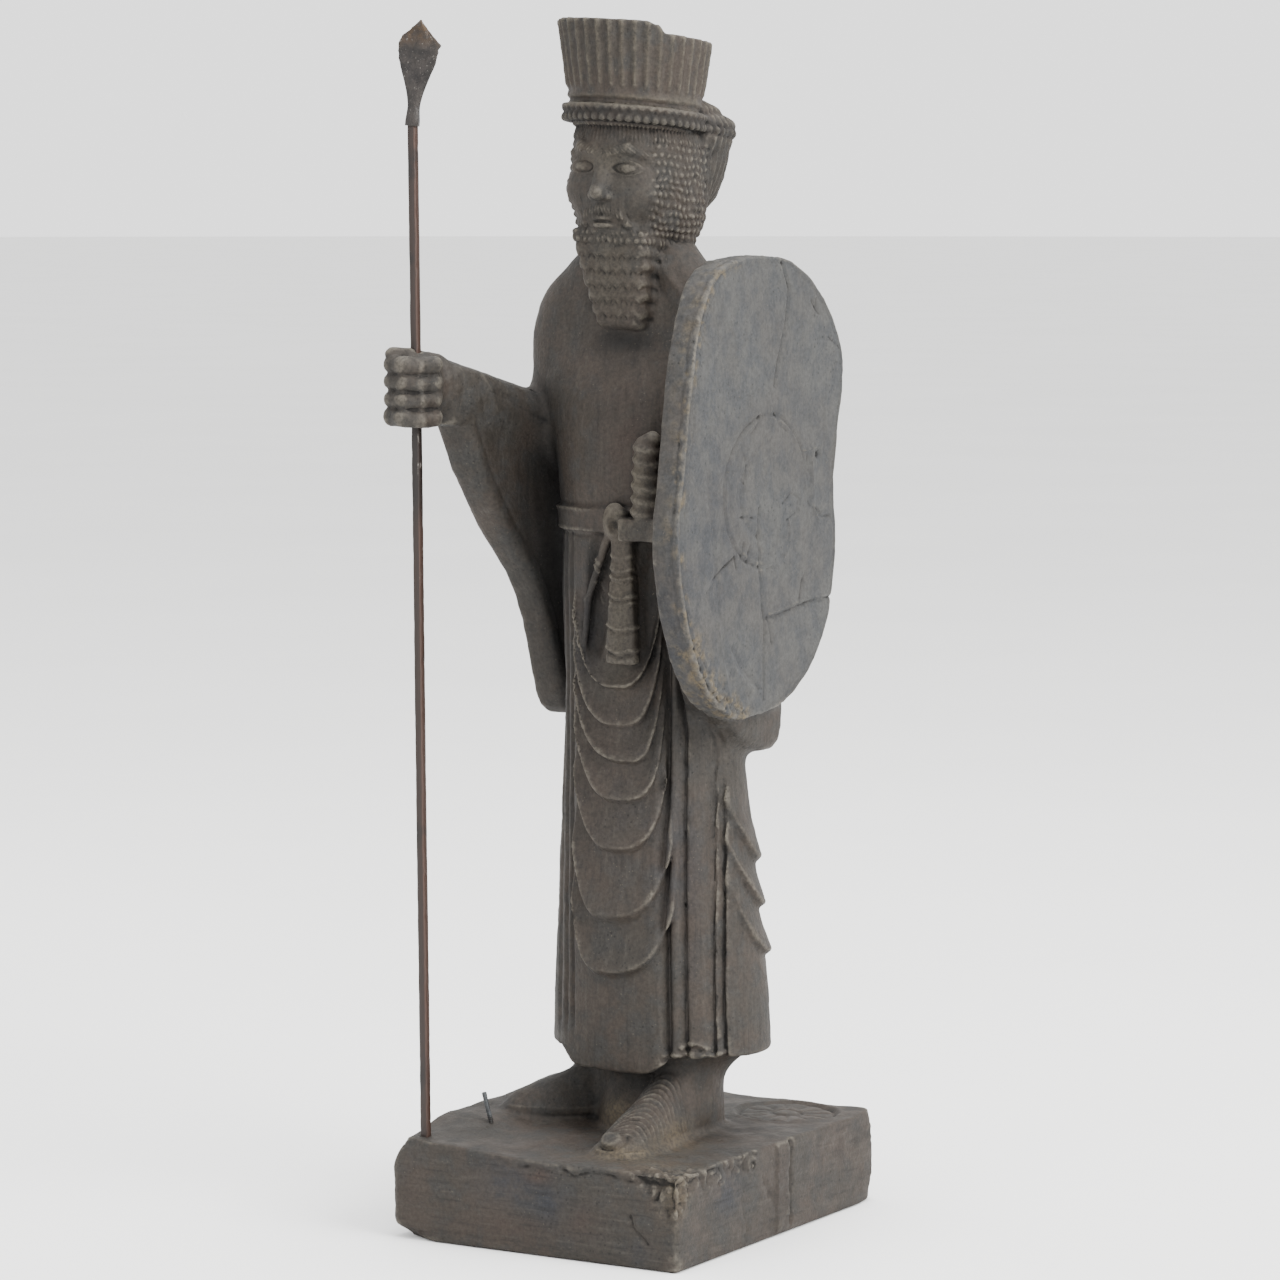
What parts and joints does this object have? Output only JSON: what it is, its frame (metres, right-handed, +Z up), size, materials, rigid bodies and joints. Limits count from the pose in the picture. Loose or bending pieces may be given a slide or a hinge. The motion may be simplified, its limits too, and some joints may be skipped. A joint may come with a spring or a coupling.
{
  "type": "persian soldier statue",
  "caption": "Standing guard figure in a pleated court robe with a fluted hat, a waisted shield, a dagger and a spear, cast in one with its block plinth.",
  "frame": {"origin": "centre of the plinth's underside", "axes": "+Z up, the figure faces -Y, its left side with the shield is +X"},
  "size_m": [0.1407, 0.1765, 0.5035],
  "materials": {
    "patina_cast": "matt dark grey-brown paint over cast stone, dusty on its high points, bluish on the shield",
    "copper_rod": "satin copper-brown square bar with scuffs",
    "dark_blade": "crumpled dark metal with bright flecks",
    "grey_wire": "dull grey wire"
  },
  "bodies": {
    "root": {"statue": "patina_cast", "spear_shaft": "copper_rod", "spear_head": "dark_blade", "plinth_pin": "grey_wire"}
  },
  "joints": []
}
